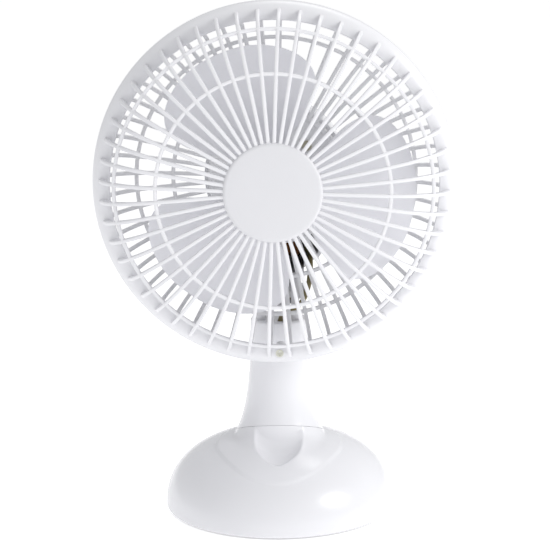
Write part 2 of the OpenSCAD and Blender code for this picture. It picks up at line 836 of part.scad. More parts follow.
module tube(route, r, sides, parts) {
    end = len(route) - 1;
    path = [each [for (i = [0:end - 1], k = [0:parts - 1]) smooth_point(route, i, k / parts)], route[end]];
    last = len(path) - 1;
    rings = [for (i = [0:last])
        let (along = path[min(last, i + 1)] - path[max(0, i - 1)], f = along / norm(along),
            x = cross(f, [0, 1, 0]) / norm(cross(f, [0, 1, 0])), y = cross(f, x))
        for (k = [0:sides - 1]) path[i] + r * (x * cos(360 * k / sides) + y * sin(360 * k / sides))];
    walls = [for (i = [0:last - 1], k = [0:sides - 1])
        let (a = i * sides + k, b = i * sides + (k + 1) % sides)
            each [[a, a + sides, b], [b, a + sides, b + sides]]];
    first_cap = [for (k = [0:sides - 1]) k];
    last_cap = [for (k = [sides - 1:-1:0]) last * sides + k];
    polyhedron(points = rings, faces = concat(walls, [first_cap], [last_cap]), convexity = 4);
}

module motor_lead() {
    color("olive") tube(lead_route, lead_r, lead_sides, 2);
}

front_guard();
rear_guard();
guard_screw();
fan_blade();
blade_nut();
motor_shaft();
rotor_core();
rotor_cage();
thrust_washers();
stator_core();
coil_bobbin();
motor_coil();
shading_rings();
front_bracket();
rear_bracket();
front_bearing();
rear_bearing();
motor_bolts();
guard_mount_screws();
motor_cover();
cover_screws();
tilt_bolt();
tilt_nut();
tilt_washers();
neck();
neck_screws();
base_shell();
base_plate();
ballast_weight();
ballast_screws();
base_screws();
foot_ring();
switch_housing();
rocker_switch();
switch_terminals();
cord_grommet();
motor_lead();
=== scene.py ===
import math

import bmesh
import bpy
from mathutils import Matrix, Vector


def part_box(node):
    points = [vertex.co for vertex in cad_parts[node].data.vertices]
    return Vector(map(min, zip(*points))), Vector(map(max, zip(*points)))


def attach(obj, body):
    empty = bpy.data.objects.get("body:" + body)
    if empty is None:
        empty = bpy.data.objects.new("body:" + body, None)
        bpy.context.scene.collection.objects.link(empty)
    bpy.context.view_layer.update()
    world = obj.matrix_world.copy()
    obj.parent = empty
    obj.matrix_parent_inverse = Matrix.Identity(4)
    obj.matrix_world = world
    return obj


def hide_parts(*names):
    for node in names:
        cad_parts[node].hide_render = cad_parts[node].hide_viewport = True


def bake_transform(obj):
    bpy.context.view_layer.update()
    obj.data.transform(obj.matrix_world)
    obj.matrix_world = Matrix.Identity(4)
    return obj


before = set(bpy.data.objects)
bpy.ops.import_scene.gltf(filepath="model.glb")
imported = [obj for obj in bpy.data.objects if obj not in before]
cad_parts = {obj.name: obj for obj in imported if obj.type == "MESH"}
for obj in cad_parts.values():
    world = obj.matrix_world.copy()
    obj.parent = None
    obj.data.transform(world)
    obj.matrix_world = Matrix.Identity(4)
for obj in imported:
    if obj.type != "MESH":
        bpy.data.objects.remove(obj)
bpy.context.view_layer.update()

# Pieces are drawn in millimetres, and makePiece turns them into metres
metre = 1000


def nodeBox(node):
    return [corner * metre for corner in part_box(node)]


def nodeMiddle(node):
    low, high = nodeBox(node)
    return (low + high) / 2


guardLow, guardHigh = nodeBox("front_guard")
domeLow, domeHigh = nodeBox("base_shell")
rimR = guardHigh.x
frontDepth = 30.7  # from the rim's plane forward to the face of the disc
rimY = guardLow.y + frontDepth
axisZ = nodeMiddle("motor_shaft").z
tiltZ = nodeMiddle("tilt_bolt").z
baseR = 65.8
onHead = Matrix.Translation((0, rimY, axisZ)) @ Matrix.Rotation(math.pi / 2, 4, "X")  # local Z points forward
print("frame loaded: rim", round(rimR, 1), "axis", round(axisZ, 1), "tilt", round(tiltZ, 1))


# Camera, lamps and floor

cameraLook = {
    "place": (0.02937, -1.0, 0.33221), "pitch": 11.158, "yaw": -1.781, "roll": -0.658, "lens": 117.29,
}
studio = {
    "floorColor": (0.93, 0.93, 0.935, 1), "floorGlow": 0.44, "floorHalf": 30,
    "skyColor": (0.985, 0.99, 1, 1), "skyStrength": 0.62,
    "key": {"place": (1.05, -0.55, 0.7), "size": 0.6, "power": 7.0, "color": (1, 0.997, 0.985)},
    "fill": {"place": (-0.9, -0.8, 0.35), "size": 0.8, "power": 0.35, "color": (0.95, 0.97, 1)},
    "top": {"place": (0.15, 0.35, 1.1), "size": 0.6, "power": 2.2, "color": (1, 1, 1)},
}


def makeCamera():
    pitch = math.radians(cameraLook["pitch"])
    yaw = math.radians(cameraLook["yaw"])
    data = bpy.data.cameras.new("camera")
    data.lens = cameraLook["lens"]
    data.sensor_width = 36
    data.clip_start = 0.05
    data.clip_end = 100
    camera = bpy.data.objects.new("camera", data)
    bpy.context.scene.collection.objects.link(camera)
    forward = Vector((math.sin(yaw) * math.cos(pitch), math.cos(yaw) * math.cos(pitch), -math.sin(pitch)))
    aim = forward.to_track_quat("-Z", "Y").to_matrix().to_4x4()
    roll = Matrix.Rotation(math.radians(cameraLook["roll"]), 4, "Z")
    camera.matrix_world = Matrix.Translation(cameraLook["place"]) @ aim @ roll
    bpy.context.scene.camera = camera


def hangLamp(name):
    look = studio[name]
    data = bpy.data.lights.new(name, "AREA")
    data.shape = "DISK"
    data.size = look["size"]
    data.energy = look["power"]
    data.color = look["color"]
    lamp = bpy.data.objects.new(name, data)
    bpy.context.scene.collection.objects.link(lamp)
    lamp.location = look["place"]
    away = Vector((0, 0, 0.14)) - lamp.location
    lamp.rotation_euler = away.to_track_quat("-Z", "Y").to_euler()


def makeStudio():
    scene = bpy.context.scene
    scene.view_settings.view_transform = "Standard"
    world = bpy.data.worlds.new("studio")
    world.use_nodes = True
    sky = world.node_tree.nodes["Background"]
    sky.inputs["Color"].default_value = studio["skyColor"]
    sky.inputs["Strength"].default_value = studio["skyStrength"]
    scene.world = world
    for name in ("key", "fill", "top"):
        hangLamp(name)
    bm = bmesh.new()
    bmesh.ops.create_grid(bm, x_segments=2, y_segments=2, size=studio["floorHalf"])
    mesh = bpy.data.meshes.new("floor")
    bm.to_mesh(mesh)
    bm.free()
    floor = bpy.data.objects.new("floor", mesh)
    scene.collection.objects.link(floor)
    material = bpy.data.materials.new("paleFloor")
    material.use_nodes = True
    shader = material.node_tree.nodes["Principled BSDF"]
    shader.inputs["Base Color"].default_value = studio["floorColor"]
    shader.inputs["Roughness"].default_value = 0.7
    shader.inputs["Emission Color"].default_value = (1, 1, 1, 1)
    shader.inputs["Emission Strength"].default_value = studio["floorGlow"]
    mesh.materials.append(material)


makeCamera()
makeStudio()
print("camera and studio ready")


# Finishes

plastics = {
    "whitePlastic": {"color": (0.80, 0.80, 0.83), "shade": (0.798, 0.798, 0.828), "rough": (0.25, 0.27),
                     "grain": 1400, "depth": 0.04, "coat": 0.2},
    "guardPlastic": {"color": (0.80, 0.80, 0.826), "shade": (0.796, 0.796, 0.822), "rough": (0.3, 0.36),
                     "grain": 1800, "depth": 0.04, "coat": 0.1},
    # Painted shade: the disc is the guard's white plastic drawn darker, standing in for less light falling on it
    "discPlasticPaintedShade": {"color": (0.725, 0.725, 0.752), "shade": (0.715, 0.715, 0.742), "rough": (0.44, 0.52),
                    "grain": 2400, "depth": 0.16, "coat": 0.0},
    # Painted light: the rear guard's white plastic drawn lighter than the front guard's, to lift its shaded ribs
    "rearPlasticPaintedLight": {"color": (0.84, 0.84, 0.855), "shade": (0.83, 0.83, 0.846), "rough": (0.32, 0.4),
                    "grain": 1800, "depth": 0.04, "coat": 0.1},
    # Lilac-white blade plastic; its extra lightness is painted light, offsetting the shade the guard ribs cast on
    # the blades
    "bladePlasticPaintedLight": {"color": (0.85, 0.85, 0.885), "shade": (0.84, 0.84, 0.877), "rough": (0.3, 0.36),
                     "grain": 1200, "depth": 0.04, "coat": 0.1},
    "greyPlastic": {"color": (0.30, 0.30, 0.32), "shade": (0.26, 0.26, 0.28), "rough": (0.45, 0.6),
                    "grain": 1500, "depth": 0.14, "coat": 0.0},
    "blackPlastic": {"color": (0.018, 0.018, 0.019), "shade": (0.03, 0.03, 0.032), "rough": (0.35, 0.5),
                     "grain": 1500, "depth": 0.12, "coat": 0.0},
    "fibreBoard": {"color": (0.42, 0.29, 0.17), "shade": (0.33, 0.22, 0.13), "rough": (0.7, 0.85),
                   "grain": 2200, "depth": 0.25, "coat": 0.0},
    "footRubber": {"color": (0.055, 0.055, 0.057), "shade": (0.04, 0.04, 0.042), "rough": (0.6, 0.78),
                   "grain": 2400, "depth": 0.25, "coat": 0.0},
    "leadSleeve": {"color": (0.24, 0.20, 0.09), "shade": (0.17, 0.14, 0.06), "rough": (0.35, 0.5),
                   "grain": 1800, "depth": 0.1, "coat": 0.0},
}
metals = {
    "turnedSteel": {"color": (0.56, 0.56, 0.57), "rough": (0.2, 0.34), "lines": 420, "depth": 0.1, "along": "Y"},
    "paleZinc": {"color": (0.68, 0.68, 0.60), "rough": (0.4, 0.5), "lines": 900, "depth": 0.1, "along": ""},
    "zincPlate": {"color": (0.50, 0.47, 0.36), "rough": (0.3, 0.45), "lines": 900, "depth": 0.1, "along": ""},
    "varnishedCore": {"color": (0.03, 0.03, 0.034), "rough": (0.28, 0.42),
                      "lines": 320, "depth": 0.6, "along": "Y"},
    "castAluminium": {"color": (0.62, 0.62, 0.64), "rough": (0.38, 0.55), "lines": 700, "depth": 0.2, "along": ""},
    "enamelCopper": {"color": (0.12, 0.05, 0.02), "rough": (0.22, 0.34), "lines": 300, "depth": 0.7, "along": "X"},
    "sinteredBronze": {"color": (0.4, 0.26, 0.12), "rough": (0.45, 0.6), "lines": 1800, "depth": 0.25, "along": ""},
    "contactBrass": {"color": (0.62, 0.45, 0.17), "rough": (0.25, 0.38), "lines": 900, "depth": 0.08, "along": ""},
    "castIron": {"color": (0.10, 0.10, 0.105), "rough": (0.6, 0.78), "lines": 650, "depth": 0.5, "along": ""},
}


def newMaterial(name):
    material = bpy.data.materials.new(name)
    material.use_nodes = True
    tree = material.node_tree
    return material, tree, tree.nodes["Principled BSDF"], tree.nodes.new("ShaderNodeTexCoord").outputs["Object"]


def addNoise(tree, place, scale, detail):
    node = tree.nodes.new("ShaderNodeTexNoise")
    node.inputs["Scale"].default_value = scale
    node.inputs["Detail"].default_value = detail
    tree.links.new(place, node.inputs["Vector"])
    return node.outputs["Fac"]


def addLines(tree, place, direction, scale):
    node = tree.nodes.new("ShaderNodeTexWave")
    node.bands_direction = direction
    node.inputs["Scale"].default_value = scale
    node.inputs["Distortion"].default_value = 0.5
    node.inputs["Detail"].default_value = 2
    tree.links.new(place, node.inputs["Vector"])
    return node.outputs["Fac"]


def spread(tree, value, low, high):
    node = tree.nodes.new("ShaderNodeMapRange")
    node.inputs["From Min"].default_value = 0.35
    node.inputs["From Max"].default_value = 0.65
    node.inputs["To Min"].default_value = low
    node.inputs["To Max"].default_value = high
    tree.links.new(value, node.inputs["Value"])
    return node.outputs["Result"]


def addBump(tree, shader, height, strength):
    node = tree.nodes.new("ShaderNodeBump")
    node.inputs["Strength"].default_value = strength
    node.inputs["Distance"].default_value = 0.0003
    tree.links.new(height, node.inputs["Height"])
    tree.links.new(node.outputs["Normal"], shader.inputs["Normal"])


def mouldedPlastic(name):
    look = plastics[name]
    material, tree, shader, place = newMaterial(name)
    mix = tree.nodes.new("ShaderNodeMix")
    mix.data_type = "RGBA"
    tree.links.new(spread(tree, addNoise(tree, place, 42, 3), 0, 1), mix.inputs[0])
    mix.inputs[6].default_value = (*look["color"], 1)
    mix.inputs[7].default_value = (*look["shade"], 1)
    tree.links.new(mix.outputs[2], shader.inputs["Base Color"])
    tree.links.new(spread(tree, addNoise(tree, place, 700, 3), *look["rough"]), shader.inputs["Roughness"])
    addBump(tree, shader, addNoise(tree, place, look["grain"], 2), look["depth"])
    shader.inputs["IOR"].default_value = 1.5
    shader.inputs["Coat Weight"].default_value = look["coat"]
    shader.inputs["Coat Roughness"].default_value = 0.12
    return material


def bareMetal(name):
    look = metals[name]
    material, tree, shader, place = newMaterial(name)
    shader.inputs["Metallic"].default_value = 1
    mix = tree.nodes.new("ShaderNodeMix")
    mix.data_type = "RGBA"
    tree.links.new(spread(tree, addNoise(tree, place, 90, 5), 0, 1), mix.inputs[0])
    mix.inputs[6].default_value = (*look["color"], 1)
    mix.inputs[7].default_value = (*[0.86 * part for part in look["color"]], 1)
    tree.links.new(mix.outputs[2], shader.inputs["Base Color"])
    tree.links.new(spread(tree, addNoise(tree, place, 160, 5), *look["rough"]), shader.inputs["Roughness"])
    if look["along"]:
        height = addLines(tree, place, look["along"], look["lines"])
    else:
        height = addNoise(tree, place, look["lines"], 4)
    addBump(tree, shader, height, look["depth"])
    return material


finish = {name: mouldedPlastic(name) for name in plastics}
finish.update({name: bareMetal(name) for name in metals})
print("finishes ready:", len(finish))

# The CAD nodes that stay as they are, and the finish of each
keptNodes = {
    "guard_screw": "paleZinc", "motor_shaft": "turnedSteel", "rotor_core": "varnishedCore",
    "rotor_cage": "castAluminium", "thrust_washers": "fibreBoard", "stator_core": "varnishedCore",
    "coil_bobbin": "blackPlastic", "motor_coil": "enamelCopper", "shading_rings": "enamelCopper",
    "front_bracket": "castAluminium", "rear_bracket": "castAluminium", "front_bearing": "sinteredBronze",
    "rear_bearing": "sinteredBronze", "motor_bolts": "zincPlate", "guard_mount_screws": "zincPlate",
    "cover_screws": "zincPlate", "tilt_bolt": "turnedSteel", "tilt_nut": "zincPlate",
    "tilt_washers": "turnedSteel", "neck_screws": "zincPlate", "base_plate": "greyPlastic",
    "ballast_weight": "castIron", "ballast_screws": "zincPlate", "base_screws": "zincPlate",
    "foot_ring": "footRubber", "switch_terminals": "contactBrass",
    "front_guard": "guardPlastic", "rear_guard": "rearPlasticPaintedLight", "fan_blade": "bladePlasticPaintedLight",
    "blade_nut": "greyPlastic", "motor_cover": "whitePlastic", "neck": "whitePlastic",
    "base_shell": "whitePlastic", "switch_housing": "blackPlastic", "rocker_switch": "blackPlastic",
    "cord_grommet": "blackPlastic", "motor_lead": "leadSleeve",
}
for node, name in keptNodes.items():
    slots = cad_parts[node].data.materials
    slots.clear()
    slots.append(finish[name])
print("CAD nodes finished:", len(keptNodes))


# Shaping steps shared by the pieces

def lathe(profile, steps, closed=True):
    bm = bmesh.new()
    verts = [bm.verts.new((r, 0, z)) for r, z in profile]
    pairs = list(zip(verts, verts[1:]))
    if closed:
        pairs.append((verts[-1], verts[0]))
    edges = [bm.edges.new(pair) for pair in pairs]
    bmesh.ops.spin(bm, geom=verts + edges, cent=(0, 0, 0), axis=(0, 0, 1), angle=2 * math.pi,
                   steps=steps, use_merge=True)
    bmesh.ops.remove_doubles(bm, verts=bm.verts, dist=0.0005)
    bmesh.ops.recalc_face_normals(bm, faces=bm.faces)
    return bm


def ringBlank(rOut, rIn, low, high, steps=96):
    return lathe([(rIn, low), (rOut, low), (rOut, high), (rIn, high)], steps)


def plug(r, low, high, steps=48):
    return lathe([(0, low), (r, low), (r, high), (0, high)], steps, closed=False)


def block(size, middle):
    bm = bmesh.new()
    bmesh.ops.create_cube(bm, size=1)
    bmesh.ops.scale(bm, vec=size, verts=bm.verts)
    bmesh.ops.translate(bm, vec=middle, verts=bm.verts)
    return bm


def slab(width, height, corner, low, high):
    bm = block((width, height, high - low), (0, 0, (low + high) / 2))
    upright = [e for e in bm.edges if abs(e.verts[0].co.z - e.verts[1].co.z) > (high - low) / 2]
    bmesh.ops.bevel(bm, geom=upright, offset=corner, segments=6, profile=0.5, affect="EDGES", material=-1)
    return bm


def soften(bm, width, segments=2, over=40):
    edges = [e for e in bm.edges if e.is_manifold and e.calc_face_angle() > math.radians(over)]
    bmesh.ops.bevel(bm, geom=edges, offset=width, segments=segments, profile=0.5, affect="EDGES",
                    material=-1, clamp_overlap=True)
    return bm


def gather(*parts):
    whole = bmesh.new()
    for part in parts:
        joint = bpy.data.meshes.new("joint")
        part.to_mesh(joint)
        part.free()
        whole.from_mesh(joint)
        bpy.data.meshes.remove(joint)
    return whole


def placed(bm, place):
    bmesh.ops.transform(bm, matrix=place, verts=bm.verts)
    return bm


def roundCopies(bm, count, axis=(0, 0, 1)):
    turn = 2 * math.pi * (count - 1) / count
    bmesh.ops.spin(bm, geom=bm.verts[:] + bm.edges[:] + bm.faces[:], cent=(0, 0, 0), axis=axis,
                   angle=turn, steps=count - 1, use_duplicate=True)
    return bm


def mirroredX(bm):
    bmesh.ops.mirror(bm, geom=bm.verts[:] + bm.edges[:] + bm.faces[:], merge_dist=-1, axis="X")
    bmesh.ops.recalc_face_normals(bm, faces=bm.faces)
    return bm


def clock(angle):
    return Matrix.Rotation(math.radians(-angle), 4, "Z")  # clockwise from the top, seen from the front


def makeObject(bm, name):
    mesh = bpy.data.meshes.new(name)
    bm.to_mesh(mesh)
    bm.free()
    made = bpy.data.objects.new(name, mesh)
    bpy.context.scene.collection.objects.link(made)
    return made


def cutAway(bm, *cutters):
    body = makeObject(bm, "body")
    tools = [makeObject(cutter, "cutter") for cutter in cutters]
    for tool in tools:
        cut = body.modifiers.new("cut", "BOOLEAN")
        cut.object = tool
        cut.operation = "DIFFERENCE"
        cut.solver = "EXACT"
    shaped = bpy.data.meshes.new_from_object(body.evaluated_get(bpy.context.evaluated_depsgraph_get()))
    left = bmesh.new()
    left.from_mesh(shaped)
    for spare in [body] + tools:
        spareMesh = spare.data
        bpy.data.objects.remove(spare)
        bpy.data.meshes.remove(spareMesh)
    bpy.data.meshes.remove(shaped)
    return left


def makePiece(bm, name, finishName, body, nodes=(), place=Matrix.Identity(4), sharp=35):
    bmesh.ops.remove_doubles(bm, verts=bm.verts, dist=0.0008)
    bmesh.ops.transform(bm, matrix=Matrix.Scale(1 / metre, 4) @ place, verts=bm.verts)
    bmesh.ops.recalc_face_normals(bm, faces=bm.faces)
    piece = makeObject(bm, name)
    piece.data.shade_smooth()
    piece.data.set_sharp_from_angle(angle=math.radians(sharp))
    piece.data.materials.append(finish[finishName])
    if body:
        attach(piece, body)
    if nodes:
        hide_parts(*nodes)
    return piece


# Front guard

frontGuard = {
    "ribs": 52, "phase": 2.2, "width": 2.0, "segments": 26, "edge": 0.55,
    "start": 24.3, "foot": 0, "facing": 1, "outer": (94.4, 29.6), "inner": (91.0, 27.0),
    "rings": (61.6, 84.1), "ringWidth": 2.0, "ringDeep": 2.4, "sunk": 0.3,
    "discR": 26.3, "discBack": 27.2, "discCrown": 0.2, "discEdge": 1.1,
    "hooks": 6, "hookStart": 30, "hookWidth": 7.5,
    "screwAngle": 178.74, "screwR": 91.4, "bossR": 3.4, "bossBore": 1.6, "bossBack": -4, "bossFront": 4.6,
}
rimProfile = [(98, -9), (98, -3), (97.9, -1.2), (97.5, 0.6), (96.7, 2.1), (95.5, 3.3), (93.9, 4.3), (91.8, 5.1),
              (89.6, 5.5), (88.2, 5.6), (87.8, 5.3), (87.8, 4.1), (88.2, 3.75), (90.4, 3.5), (92.4, 2.9),
              (94.2, 1.8), (95.4, 0.6), (96.0, -1), (96.1, -2.4), (96.1, -9)]


def cageEdge(r, reach, depth):
    return depth * math.sqrt(max(0, 1 - (r / reach) ** 5.8))


def cageRibs(look):
    bm = bmesh.new()
    bmesh.ops.create_grid(bm, x_segments=look["segments"], y_segments=1, size=1)
    for vert in bm.verts:
        reach, depth = look["outer"] if vert.co.y > 0 else look["inner"]
        share = math.sin(math.radians(45 * (vert.co.x + 1)))  # closer together where the rib bends down
        r = look["start"] + (reach - look["start"]) * share * 0.999
        vert.co = (-look["width"] / 2, r, look["foot"] + look["facing"] * cageEdge(r, reach, depth))
    strip = bmesh.ops.extrude_face_region(bm, geom=bm.faces[:])
    bmesh.ops.translate(bm, vec=(look["width"], 0, 0),
                        verts=[part for part in strip["geom"] if isinstance(part, bmesh.types.BMVert)])
    bmesh.ops.recalc_face_normals(bm, faces=bm.faces)
    soften(bm, look["edge"], segments=2, over=60)
    roundCopies(bm, look["ribs"])
    return placed(bm, clock(look["phase"]))


def cageRing(look, r, width, deep):
    reach, depth = look["outer"]
    top = look["foot"] + look["facing"] * (cageEdge(r, reach, depth) - look["sunk"])
    low, high = sorted((top, top - look["facing"] * deep))
    return soften(ringBlank(r + width / 2, r - width / 2, low, high, 208), 0.5)


def makeFrontGuard(look):
    rings = [cageRing(look, r, look["ringWidth"], look["ringDeep"]) for r in look["rings"]]
    makePiece(gather(cageRibs(look), *rings), "frontGuardRibs", "guardPlastic", "head", ["front_guard"], onHead)
    makePiece(lathe(rimProfile, 208), "frontGuardRim", "guardPlastic", "head", ["front_guard"], onHead)
    r, back, edge = look["discR"], look["discBack"], look["discEdge"]
    face = frontDepth - look["discCrown"]
    profile = [(0, frontDepth), (r * 0.5, frontDepth - look["discCrown"] * 0.4), (r - 2 * edge, face),
               (r - edge, face - 0.12), (r - edge * 0.45, face - 0.5), (r - 0.1, face - 1.3), (r, face - 2),
               (r, back + 0.5), (r - 0.5, back), (0, back)]
    makePiece(lathe(profile, 144, closed=False), "frontGuardDisc", "discPlasticPaintedShade", "head", ["front_guard"], onHead)
    hook = gather(soften(block((look["hookWidth"], 1.6, 5), (0, rimR - 1.05, -10.8)), 0.3),
                  soften(block((look["hookWidth"], 3.6, 1.8), (0, rimR - 2.05, -12.4)), 0.5))
    hooks = placed(roundCopies(hook, look["hooks"]), clock(look["hookStart"]))
    boss = soften(ringBlank(look["bossR"], look["bossBore"], look["bossBack"], look["bossFront"], 40), 0.4)
    placed(boss, clock(look["screwAngle"]) @ Matrix.Translation((0, look["screwR"], 0)))
    makePiece(gather(hooks, boss), "frontGuardHooks", "guardPlastic", "head", ["front_guard"], onHead)
    print("front guard made")


makeFrontGuard(frontGuard)


# Rear guard

rearGuard = {
    "ribs": 52, "phase": 2.2, "width": 2.2, "segments": 26, "edge": 0.6,
    "start": 36.5, "foot": -8, "facing": -1, "outer": (94.4, 26.8), "inner": (91.4, 24.4),
    "rings": (57, 77), "ringWidth": 2.2, "ringDeep": 2.4, "sunk": 0.3,
    "rimR": 95.8, "rimT": 2.6, "plateR": 38, "plateHole": 9, "plateFront": -33, "plateBack": -36.5,
    "screwAngle": 178.74, "screwR": 91.4, "lugR": 2.9, "lugBore": 1.45, "lugBack": -12, "lugFront": -4.2,
}


def makeRearGuard(look):
    rings = [cageRing(look, r, look["ringWidth"], look["ringDeep"]) for r in look["rings"]]
    rim = soften(ringBlank(look["rimR"], look["rimR"] - look["rimT"], -11, -1, 208), 0.5)
    makePiece(gather(cageRibs(look), rim, *rings), "rearGuardRibs", "rearPlasticPaintedLight", "head", ["rear_guard"], onHead)
    front, back, r, hole = look["plateFront"], look["plateBack"], look["plateR"], look["plateHole"]
    profile = [(hole, back), (r, back), (r, front - 0.8), (r - 0.8, front), (r - 3, front), (r - 3.4, front - 0.5),
               (15, front - 0.5), (14.6, front), (hole, front)]
    plate = soften(lathe(profile, 144), 0.25, over=50)
    lug = soften(ringBlank(look["lugR"], look["lugBore"], look["lugBack"], look["lugFront"], 40), 0.3)
    placed(lug, clock(look["screwAngle"]) @ Matrix.Translation((0, look["screwR"], 0)))
    makePiece(gather(plate, lug), "rearGuardPlate", "rearPlasticPaintedLight", "head", ["rear_guard"], onHead)
    print("rear guard made")


makeRearGuard(rearGuard)


# Fan blades, hub and the nut that holds them

fanBlades = {
    "count": 3, "first": 338, "tipR": 76, "hubR": 17, "span": 93, "rise": 12, "thick": 1.8, "mid": 1,
    "rows": 40, "columns": 26, "edge": 0.7, "hubFront": 16, "hubBack": -6, "wall": 2.4, "bossR": 6, "boreR": 2.51,
}
bladeNut = {"r": 7.4, "flutes": 12, "fluteDeep": 0.55, "low": 16.2, "high": 22.4, "boreR": 2.51}


def bladePoint(look, t, u):
    tip = (1 - t ** 7) ** 0.42
    growth = 0.62 + 0.38 * math.sin(math.pi / 2 * min(1, t / 0.55))
    angle = u * look["span"] / 2 * growth * tip
    root = look["hubR"] - 1.2
    r = root + (look["tipR"] - root) * t
    share = angle / (look["span"] / 2)
    camber = 2.2 * (1 - share * share) * math.sin(math.pi / 2 * t)
    turn = math.radians(angle)
    return Vector((r * math.sin(turn), r * math.cos(turn),
                   look["mid"] + look["rise"] * share - camber - look["thick"] / 2))


def makeBlades(look):
    bm = bmesh.new()
    bmesh.ops.create_grid(bm, x_segments=look["columns"], y_segments=look["rows"], size=1)
    for vert in bm.verts:
        t = 0.996 * math.sin(math.radians(45 * (vert.co.y + 1)))
        vert.co = bladePoint(look, t, vert.co.x)
    skin = bmesh.ops.extrude_face_region(bm, geom=bm.faces[:])
    bmesh.ops.translate(bm, vec=(0, 0, look["thick"]),
                        verts=[part for part in skin["geom"] if isinstance(part, bmesh.types.BMVert)])
    bmesh.ops.recalc_face_normals(bm, faces=bm.faces)
    soften(bm, look["edge"], segments=3, over=60)
    roundCopies(bm, look["count"])
    placed(bm, clock(look["first"]))
    r, front, back = look["hubR"], look["hubFront"], look["hubBack"]
    inside = r - look["wall"]
    profile = [(look["boreR"], back), (look["bossR"], back), (look["bossR"], front - 3), (inside, front - 3),
               (inside, back), (r, back), (r, front - 4.5), (r - 0.4, front - 2.8), (r - 1.4, front - 1.3),
               (r - 2.8, front - 0.4), (r - 4.6, front), (look["boreR"], front)]
    hub = soften(lathe(profile, 96), 0.3, over=55)
    makePiece(gather(bm, hub), "fanBlades", "bladePlasticPaintedLight", "rotor", ["fan_blade"], onHead)
    print("blades made")


def makeBladeNut(look):
    bm = lathe([(look["boreR"], look["low"]), (look["r"], look["low"]), (look["r"], look["high"] - 1),
                (look["r"] - 1, look["high"]), (look["boreR"], look["high"])], 144)
    for vert in bm.verts:
        out = math.hypot(vert.co.x, vert.co.y)
        if out > look["r"] - 1.5:
            around = math.atan2(vert.co.y, vert.co.x)
            flute = max(0, math.cos(look["flutes"] * around)) ** 1.5
            share = 1 - look["fluteDeep"] * flute / out
            vert.co.x *= share
            vert.co.y *= share
    makePiece(soften(bm, 0.3, over=50), "bladeNut", "greyPlastic", "rotor", ["blade_nut"], onHead)
    print("blade nut made")


makeBlades(fanBlades)
makeBladeNut(bladeNut)


# Motor cover

motorCover = {
    "r": 40, "chinR": 28, "chinZ": -31, "front": -37.5, "back": -90, "wall": 2, "round": 16,
    "columns": 160, "straightRows": 10, "roundRows": 12, "bossX": 26, "screwSeat": 3.2,
    "topShare": 0.562, "sideShare": 0.102, "squash": 0.92,
    "vents": 4, "ventTop": 36, "ventShort": 4, "ventPitch": 4, "ventFirst": 7, "ventHigh": 2,
    "bossR": 3.4, "bossBore": 1.6, "bossBack": -87.6, "bossFront": -83.6, "seatR": 3.6, "seatFront": -86.6,
    "leadX": 18.4, "leadSize": (7, 20, 26), "leadUp": 6,
    "lugR": 8.5, "lugWidth": 12, "lugBore": 2.55, "lugReach": 11.5, "lugEdge": 0.5,
}


def eggPoint(look, share, shrink):
    side = math.asin((look["chinR"] - look["r"]) / look["chinZ"])
    top, chin = look["r"] - shrink, look["chinR"] - shrink
    topShare, sideShare = look["topShare"], look["sideShare"]
    if share < topShare:
        turn = -side + (math.pi + 2 * side) * share / topShare
        return top * math.cos(turn), top * math.sin(turn)
    if share < topShare + sideShare:
        ends = math.pi + side
        along = (share - topShare) / sideShare
        r, y = top + (chin - top) * along, look["chinZ"] * along
        return r * math.cos(ends), y + r * math.sin(ends)
    if share < 1 - sideShare:
        along = (share - topShare - sideShare) / (1 - topShare - 2 * sideShare)
        turn = math.pi + side + (math.pi - 2 * side) * along
        return chin * math.cos(turn), look["chinZ"] + chin * math.sin(turn)
    along = (1 - share) / sideShare
    r, y = top + (chin - top) * along, look["chinZ"] * along
    return r * math.cos(-side), y + r * math.sin(-side)


def dShape(r, depth, thick, edge):
    bm = bmesh.new()
    bmesh.ops.create_circle(bm, cap_ends=True, radius=r, segments=64)
    below = [v for v in bm.verts if v.co.y < -0.01]
    for vert in below:
        vert.co.y = -depth if vert.co.y < -r * 0.2 else vert.co.y
    bmesh.ops.translate(bm, vec=(0, 0, -thick / 2), verts=bm.verts)
    raised = bmesh.ops.extrude_face_region(bm, geom=bm.faces[:])
    bmesh.ops.translate(bm, vec=(0, 0, thick),
                        verts=[part for part in raised["geom"] if isinstance(part, bmesh.types.BMVert)])
    bmesh.ops.recalc_face_normals(bm, faces=bm.faces)
    return soften(bm, edge, over=60)


